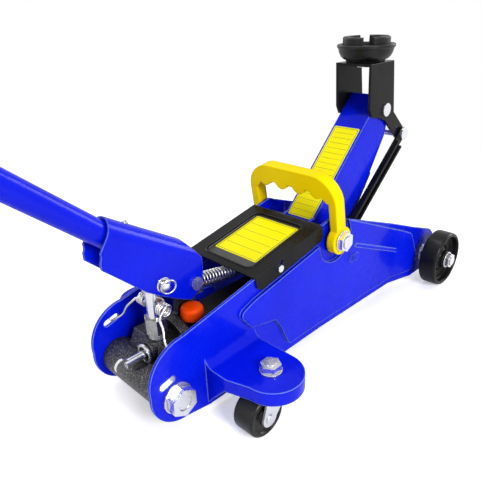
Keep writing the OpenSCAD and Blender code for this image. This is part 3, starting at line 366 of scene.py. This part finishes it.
def tube(name, points, radius, surface, sides=12, closed=False):
    """A round wire through points, with rounded ends."""
    pts = [Vector(p) for p in points]
    n = len(pts)
    tangents = []
    for i in range(n):
        a = pts[(i - 1) % n] if closed or i else pts[0]
        b = pts[(i + 1) % n] if closed or i < n - 1 else pts[-1]
        tangents.append((b - a).normalized())
    normal = tangents[0].orthogonal().normalized()
    verts, faces = [], []
    rings = []
    for i in range(n):
        if i:
            normal = tangents[i - 1].rotation_difference(tangents[i]) @ normal
        side = tangents[i].cross(normal)
        rings.append(len(verts))
        for k in range(sides):
            a = 2 * math.pi * k / sides
            verts.append(pts[i] + radius * (math.cos(a) * normal + math.sin(a) * side))
    for i in range(n - (0 if closed else 1)):
        j = (i + 1) % n
        shift = 0
        if closed and j == 0:
            want = verts[rings[i]] - pts[i]
            shift = min(range(sides), key=lambda k: (verts[rings[0] + k] - pts[0] - want).length)
        for k in range(sides):
            faces.append((
                rings[i] + k, rings[i] + (k + 1) % sides,
                rings[j] + (k + 1 + shift) % sides, rings[j] + (k + shift) % sides,
            ))
    if not closed:
        for end, d in ((0, -1), (n - 1, 1)):
            tip = len(verts)
            verts.append(pts[end] + d * radius * 0.6 * tangents[end])
            base = rings[end]
            for k in range(sides):
                a, b = base + k, base + (k + 1) % sides
                faces.append((b, a, tip) if d < 0 else (a, b, tip))
    return mesh_object(name, verts, faces, surface)


def smooth_path(points, per=6):
    """Catmull-Rom curve through the points."""
    pts = [Vector(p) for p in points]
    out = []
    for i in range(len(pts) - 1):
        p0 = pts[i - 1] if i else 2 * pts[0] - pts[1]
        p1, p2 = pts[i], pts[i + 1]
        p3 = pts[i + 2] if i + 2 < len(pts) else 2 * pts[-1] - pts[-2]
        for k in range(per):
            t = k / per
            out.append(0.5 * (
                2 * p1 + (p2 - p0) * t + (2 * p0 - 5 * p1 + 4 * p2 - p3) * t * t
                + (3 * p1 - p0 - 3 * p2 + p3) * t * t * t
            ))
    out.append(pts[-1])
    return out


def helix(start, axis, radius, turns, pitch, steps=24, phase=0.0, ref=None):
    axis = Vector(axis).normalized()
    u = (Vector(ref) if ref else axis.orthogonal()).normalized()
    v = axis.cross(u)
    count = int(turns * steps)
    return [
        Vector(start) + axis * (pitch * i / steps)
        + radius * (math.cos(2 * math.pi * i / steps + phase) * u
                    + math.sin(2 * math.pi * i / steps + phase) * v)
        for i in range(count + 1)
    ]


def thread(name, start, axis, radius, length, pitch, surface, body):
    """A vee thread standing a little proud of a plain shank."""
    axis = Vector(axis).normalized()
    u = axis.orthogonal().normalized()
    v = axis.cross(u)
    steps = 28
    count = int(length / pitch * steps)
    verts, faces = [], []
    depth = pitch * 0.34
    for i in range(count + 1):
        a = 2 * math.pi * i / steps
        fade = min(1, i / steps, (count - i) / steps)
        out = math.cos(a) * u + math.sin(a) * v
        c = Vector(start) + axis * (pitch * i / steps)
        for along, up in ((-0.46, -0.04), (-0.08, 1), (0.08, 1), (0.46, -0.04)):
            rise = up if up < 0 else up * fade
            verts.append(c + axis * pitch * along + out * (radius + depth * rise * 0.5))
    for i in range(count):
        for k in range(3):
            a = 4 * i + k
            faces.append((a, a + 4, a + 5, a + 1))
    o = mesh_object(name, verts, faces, surface, smooth=False)
    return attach(o, body)


def frame_of(origin, along, up):
    """Turns local (x, y, z) millimetres into the row frame."""
    x = Vector(along).normalized()
    z = Vector(up).normalized()
    y = z.cross(x)
    m = Matrix((
        (x.x, y.x, z.x, origin.x), (x.y, y.y, z.y, origin.y), (x.z, y.z, z.z, origin.z), (0, 0, 0, 1)))
    return m


def sheet_rects(name, m, rects, z, surface, thick=0.12, radius=0.0, body="frame"):
    """Flat rectangles (x0, x1, y0, y1) in millimetres on the plane of m, each a thin plate."""
    bm = bmesh.new()
    for x0, x1, y0, y1 in rects:
        r = min(radius, (x1 - x0) / 2.01, (y1 - y0) / 2.01)
        ring = []
        if r > 0:
            corners = (
                (x1 - r, y1 - r, 0), (x0 + r, y1 - r, 90), (x0 + r, y0 + r, 180), (x1 - r, y0 + r, 270))
            for cx, cy, a0 in corners:
                for k in range(7):
                    a = math.radians(a0 + 15 * k)
                    ring.append((cx + r * math.cos(a), cy + r * math.sin(a)))
        else:
            ring = [(x0, y0), (x1, y0), (x1, y1), (x0, y1)]
        top = [bm.verts.new(m @ D(x, y, z + thick)) for x, y in ring]
        low = [bm.verts.new(m @ D(x, y, z - 0.02)) for x, y in ring]
        bm.faces.new(top)
        for k in range(len(ring)):
            j = (k + 1) % len(ring)
            bm.faces.new((low[k], low[j], top[j], top[k]))
    me = bpy.data.meshes.new(name)
    bm.to_mesh(me)
    bm.free()
    o = bpy.data.objects.new(name, me)
    bpy.context.scene.collection.objects.link(o)
    me.materials.append(surface.m)
    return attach(o, body)


def ruled_label(name, m, x0, x1, y0, y1, z, rows, body, margin, line):
    """A bare yellow sticker with a thin dark border and blank ruled rows."""
    sheet_rects(name + "_sheet", m, [(x0, x1, y0, y1)], z, label_yellow, 0.14, 1.6, body)
    a, b, c, d = x0 + margin, x1 - margin, y0 + margin, y1 - margin
    sheet_rects(name + "_border", m, [
        (a, b, c, c + line), (a, b, d - line, d), (a, a + line, c, d), (b - line, b, c, d),
    ], z + 0.14, label_ink, 0.03, 0, body)
    rules = []
    for k in range(1, rows):
        x = a + (b - a) * k / rows
        rules.append((x, x + line * 0.8, c + 2.4, d - 2.4))
    sheet_rects(name + "_rules", m, rules, z + 0.14, label_rule, 0.03, 0, body)


def ring(name, centre, axis, radius, wire, surface, body, steps=48):
    """A closed round wire."""
    axis = Vector(axis).normalized()
    u = axis.orthogonal().normalized()
    v = axis.cross(u)
    turns = [2 * math.pi * i / steps for i in range(steps)]
    pts = [Vector(centre) + radius * (math.cos(t) * u + math.sin(t) * v) for t in turns]
    o = tube(name, pts, wire, surface, 10, closed=True)
    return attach(o, body)


# ---------------------------------------------------------------- springs
# Return spring: a long coil from the socket pin's hook to the crosshead's ear
s_from = P(SOCKET[0] + 15, 0, SOCKET[1] - 8)
s_to = P(RAM_PIN_X - 12, 0, SPRING_HEIGHT)
s_dir = (s_to - s_from).normalized()
s_len = (s_to - s_from).length
coil = helix(s_from, s_dir, 0.0062, 42, s_len / 42, 22, 0.0, (0, 1, 0))
hook_rear = smooth_path([
    P(SOCKET[0] - 8.5, 17.4, SOCKET[1] + 1.5), P(SOCKET[0] - 6.5, 18.6, SOCKET[1] - 5.5),
    P(SOCKET[0], 18.9, SOCKET[1] - 8.4), P(SOCKET[0] + 8, 16.4, SOCKET[1] - 8.4),
    P(SOCKET[0] + 12.8, 10.5, SOCKET[1] - 8),
], 5)
ear = P(RAM_PIN_X - 7, 0, SPRING_HEIGHT)
hook_front = smooth_path([
    s_to + D(0.6, 5.6, 0), ear + D(-0.2, 3.4, 0), ear + D(0.6, 0, -0.6), ear + D(0, -3.6, 0),
    ear + D(-3.4, -5.0, 1.5),
], 5)
spring = tube("return_spring_wire", hook_rear + coil + hook_front, 0.00092, wire_steel, 9)
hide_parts("arm_return_spring")
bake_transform(spring)

# Wire spring with two coils beside the plunger and a leg out to each side plate
for side, tag in ((1, "left"), (-1, "right")):
    leg = (-412.6, 49.4, 83.4) if side > 0 else (-409.5, -42.4, 84.0)
    c0 = P(PX, side * 10, 110)
    pts = helix(c0, (0, side, 0), 0.0056, 3.4, 0.0026, 26, math.radians(60 * side), (1, 0, 0))
    out = smooth_path([
        pts[-1], P(PX - 9, side * 21.5, 108), P(-403, side * 28, 101), P(-406, side * 33, 92),
        P(leg[0] + 2, side * 39.5, 86.5), P(leg[0], side * 44, leg[2] + 0.3),
        P(leg[0], leg[1] if side > 0 else -46.8, leg[2]),
    ], 7)
    bridge = smooth_path([
        P(PX - 3, side * 1.0, 122.4), P(PX - 2, side * 5, 121.0),
        P(PX + 5, side * 8.6, 115.5), pts[0],
    ], 6)
    s = tube(f"plunger_spring_wire_{tag}", bridge[:-1] + pts + out[1:], 0.0011, wire_steel, 10)
    if side > 0:
        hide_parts("plunger_spring")
    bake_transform(s)

# ---------------------------------------------------------------- labels
up = Vector((-math.sin(COVER_SLOPE), 0, math.cos(COVER_SLOPE)))
along = Vector((math.cos(COVER_SLOPE), 0, math.sin(COVER_SLOPE)))
cover_m = frame_of(P(COVER[0], 0, COVER[1]), along, up)
arm_up = Vector((-math.sin(ARM_RISE), 0, math.cos(ARM_RISE)))
arm_along = Vector((math.cos(ARM_RISE), 0, math.sin(ARM_RISE)))

ruled_label("cover_label", cover_m, 21, 88.5, -29.5, 30, PANEL_Z, 5, "frame", 1.6, 0.55)

sheet_rects("cover_panel", cover_m, [(9.8, 91.2, -32.2, 32.2)], PANEL_Z - 0.02, label_ink, 0.06, 6, "frame")

# Painted highlight: a light grey wire round the sunk panel stands in for the light caught on its bent edge
RIM_FRONT, RIM_REAR, RIM_HALF, RIM_CORNER = 86.2, 14.8, 26.8, 6.4
rim_path = []
for cx, cy, a0 in (
    (RIM_FRONT, RIM_HALF, 0), (RIM_REAR, RIM_HALF, 90),
    (RIM_REAR, -RIM_HALF, 180), (RIM_FRONT, -RIM_HALF, 270),
):
    for k in range(7):
        t = math.radians(a0 + 15 * k)
        rim_path.append(cover_m @ D(cx + RIM_CORNER * math.cos(t), cy + RIM_CORNER * math.sin(t), -0.12))
o = tube("cover_panel_rim", rim_path, 0.00042, rim_highlight, 8, closed=True)
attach(o, "frame")

# The arm's top rises from 7 mm over the pin line at the pivot to 17.7 mm at the tip
t0, t1 = (0.0, 7.0), (179.0, 17.7)
lean = math.atan2(t1[1] - t0[1], t1[0] - t0[0])
top_along = arm_along * math.cos(lean) + arm_up * math.sin(lean)
top_up = -arm_along * math.sin(lean) + arm_up * math.cos(lean)
arm_m = frame_of(P(A[0], 0, A[1]) + arm_up * 0.007, top_along, top_up)
ruled_label("arm_label", arm_m, 9, 131, -17.0, 17.6, 0.02, 17, "lift_arm", 1.5, 0.45)

# ---------------------------------------------------------------- threads and small hardware
lo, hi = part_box("arm_shaft")
for side, tag in ((1, "left"), (-1, "right")):
    y_end = hi.y if side > 0 else lo.y
    thread(f"shaft_thread_{tag}", Vector((P(A[0], 0, 0).x, y_end - side * 0.0095, A[1] / 1000)),
           (0, side, 0), 0.00696, 0.0088, 0.0015, zinc, "frame")
    lo2, hi2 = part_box("stub_axles")
    y2 = hi2.y if side > 0 else lo2.y
    thread(f"axle_thread_{tag}", Vector((P(0, 0, 0).x, y2 - side * 0.0075, WHEEL_HEIGHT / 1000)),
           (0, side, 0), 0.00596, 0.0070, 0.0014, zinc, "frame")
    _, hi3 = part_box("caster_stem_" + tag)
    thread(f"stem_thread_{tag}", Vector((P(CASTER[0], 0, 0).x, side * CASTER[1] / 1000, hi3.z - 0.0034)),
           (0, 0, 1), 0.00496, 0.0030, 0.0012, zinc, "caster_" + tag)
thread("gland_thread", P(PX, 0, 74.6), (0, 0, 1), 0.0086, 0.0074, 0.0014, dull_steel, "frame")

# Split ring through the pressing pin's outer end, two turns of wire on each side
lo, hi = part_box("press_pin")
for side, tag in ((1, "left"), (-1, "right")):
    y = (hi.y if side > 0 else lo.y) - side * 0.0034
    c = Vector((P(PRESS_PIN[0], 0, 0).x, y, PRESS_PIN[1] / 1000)) + D(2.2, 0, -1.6)
    ring(f"split_ring_{tag}", c, (0.25, 1, 0.12), 0.0068, 0.00062, zinc, "socket")
    ring(f"split_ring_inner_{tag}", c + D(0, side * 1.15, 0.2), (0.2, 1, 0.16), 0.0067,
         0.00062, zinc, "socket")

# Set screw in the top of the handle socket
screw_seat = P(-409.7, 0, 193.2)
rise = Vector((math.sin(RISE), 0, math.cos(RISE)))
o = tube("socket_set_screw", [screw_seat, screw_seat + rise * 0.0034], 0.0027, dull_steel, 14)
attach(o, "socket")

# Plated tab that fills the slot over the near rear bolt
tab_m = frame_of(P(*SLOT), (math.cos(SLOT_TILT), 0, math.sin(SLOT_TILT)), (0, -1, 0))
sheet_rects("slot_tab", tab_m, [(-8.2, 8.2, -3.15, 3.15)], 0, zinc, 0.9, 3.1)

# Ring-shaped dimple stamped in each side plate
for side, tag in ((1, "left"), (-1, "right")):
    ring(f"plate_dimple_{tag}", P(-158.7, side * 55.9, 84.2), (0, 1, 0), 0.0046, 0.00045, blue, "frame")

# ---------------------------------------------------------------- stage, lights and camera
FLOOR_LIFT = 0.42    # how much of plain white the camera adds to the floor
FLOOR_FULL = 0.55    # metres from the origin within which the floor is whole
FLOOR_GONE = 1.1
floor_mesh = bpy.data.meshes.new("floor")
floor_mesh.from_pydata([(-9, -9, 0), (9, -9, 0), (9, 9, 0), (-9, 9, 0)], [], [(0, 1, 2, 3)])
floor = bpy.data.objects.new("floor", floor_mesh)
bpy.context.scene.collection.objects.link(floor)
fm = bpy.data.materials.new("floor_white")
fm.use_nodes = True
nt = fm.node_tree
fb = nt.nodes["Principled BSDF"]
fb.inputs["Base Color"].default_value = (0.90, 0.90, 0.91, 1)
fb.inputs["Roughness"].default_value = 0.55
fb.inputs["Specular IOR Level"].default_value = 0.15
out = nt.nodes["Material Output"]
lift = nt.nodes.new("ShaderNodeEmission")
lift.inputs["Color"].default_value = (1, 1, 1, 1)
seen = nt.nodes.new("ShaderNodeLightPath")
level = nt.nodes.new("ShaderNodeMath")
level.operation = "MULTIPLY"
level.inputs[1].default_value = FLOOR_LIFT
nt.links.new(seen.outputs["Is Camera Ray"], level.inputs[0])
nt.links.new(level.outputs[0], lift.inputs["Strength"])
both = nt.nodes.new("ShaderNodeAddShader")
nt.links.new(fb.outputs["BSDF"], both.inputs[0])
nt.links.new(lift.outputs["Emission"], both.inputs[1])
# away from the object the floor gives way to the plain background
where = nt.nodes.new("ShaderNodeTexCoord")
far = nt.nodes.new("ShaderNodeVectorMath")
far.operation = "LENGTH"
nt.links.new(where.outputs["Object"], far.inputs[0])
fade = nt.nodes.new("ShaderNodeMapRange")
fade.interpolation_type = "SMOOTHSTEP"
fade.inputs["From Min"].default_value = FLOOR_FULL
fade.inputs["From Max"].default_value = FLOOR_GONE
nt.links.new(far.outputs["Value"], fade.inputs["Value"])
clear = nt.nodes.new("ShaderNodeBsdfTransparent")
blend_floor = nt.nodes.new("ShaderNodeMixShader")
nt.links.new(fade.outputs["Result"], blend_floor.inputs[0])
nt.links.new(both.outputs[0], blend_floor.inputs[1])
nt.links.new(clear.outputs[0], blend_floor.inputs[2])
nt.links.new(blend_floor.outputs[0], out.inputs["Surface"])
floor_mesh.materials.append(fm)

world = bpy.data.worlds.new("studio")
bpy.context.scene.world = world
world.use_nodes = True
wt = world.node_tree
bg = wt.nodes["Background"]
bg.inputs["Color"].default_value = (1, 1, 1, 1)
lp = wt.nodes.new("ShaderNodeLightPath")
any_seen = wt.nodes.new("ShaderNodeMath")
any_seen.operation = "MAXIMUM"
wt.links.new(lp.outputs["Is Camera Ray"], any_seen.inputs[0])
wt.links.new(lp.outputs["Is Glossy Ray"], any_seen.inputs[1])
also = wt.nodes.new("ShaderNodeMath")
also.operation = "MAXIMUM"
wt.links.new(any_seen.outputs[0], also.inputs[0])
wt.links.new(lp.outputs["Is Transmission Ray"], also.inputs[1])
strength = wt.nodes.new("ShaderNodeMapRange")
strength.inputs["To Min"].default_value = 0.24
strength.inputs["To Max"].default_value = 1.0
wt.links.new(also.outputs[0], strength.inputs["Value"])
wt.links.new(strength.outputs["Result"], bg.inputs["Strength"])


def area(name, place, aim, size, power):
    l = bpy.data.lights.new(name, "AREA")
    l.energy = power
    l.size = size
    o = bpy.data.objects.new(name, l)
    bpy.context.scene.collection.objects.link(o)
    o.location = place
    o.rotation_euler = (Vector(aim) - Vector(place)).to_track_quat("-Z", "Y").to_euler()


aim = (0.05, 0, 0.12)
area("key", (-0.35, -1.7, 1.15), aim, 0.6, 34)
area("top", (0.15, 0.3, 2.1), aim, 0.8, 12)
area("fill_front", (1.9, -0.5, 0.8), aim, 0.7, 11)
area("fill_rear", (-1.8, 0.3, 0.8), aim, 0.7, 6)
area("fill_left", (0.2, 2.0, 0.9), aim, 0.7, 11)

pan, tilt, roll = math.radians(-43.65), math.radians(25.87), math.radians(-2.70)
right = Vector((math.cos(pan), math.sin(pan), 0))
fwd = Vector((-math.sin(pan) * math.cos(tilt), math.cos(pan) * math.cos(tilt), -math.sin(tilt)))
cup = right.cross(fwd)
cr = math.cos(roll) * right + math.sin(roll) * cup
cu = -math.sin(roll) * right + math.cos(roll) * cup
camera = bpy.data.cameras.new("camera")
camera.lens = 36.70
camera.sensor_width = 36.0
camera.sensor_fit = "AUTO"
camera.clip_start = 0.01
cam = bpy.data.objects.new("camera", camera)
bpy.context.scene.collection.objects.link(cam)
eye = P(-605.23, -341.71, 351.40)
cam.matrix_world = Matrix((
    (cr.x, cu.x, -fwd.x, eye.x), (cr.y, cu.y, -fwd.y, eye.y), (cr.z, cu.z, -fwd.z, eye.z), (0, 0, 0, 1)))
bpy.context.scene.camera = cam
bpy.context.scene.view_settings.view_transform = "Standard"
